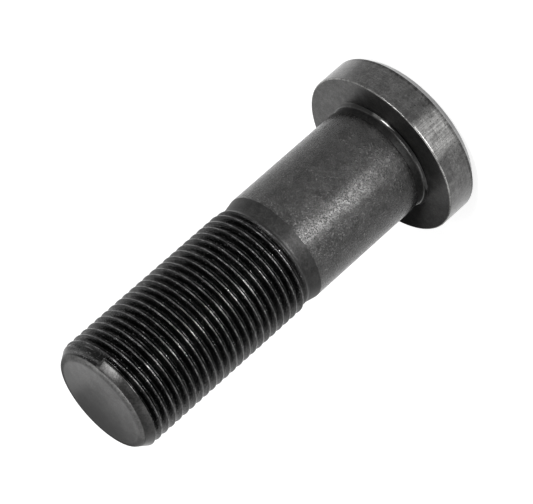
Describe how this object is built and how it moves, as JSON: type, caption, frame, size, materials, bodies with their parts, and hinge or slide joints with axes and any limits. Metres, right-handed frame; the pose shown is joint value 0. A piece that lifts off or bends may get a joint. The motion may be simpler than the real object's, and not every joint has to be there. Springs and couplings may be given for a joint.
{
  "type": "wheel bolt",
  "caption": "Wheel bolt with a plain round head, a relief cut under it, a smooth shank that presses into a hub and a finely threaded end with a chamfered tip for the wheel nut.",
  "frame": {"origin": "centre of the head's outer face, on which the bolt stands", "axes": "+Z along the bolt's axis, from the head to the threaded tip"},
  "size_m": [0.0302, 0.0302, 0.0702],
  "materials": {
    "phosphated_steel": "dark phosphated steel, satin and lightly oiled, black in the thread, worn bright on edges"
  },
  "bodies": {
    "root": {"wheel_bolt": "phosphated_steel"}
  },
  "joints": []
}
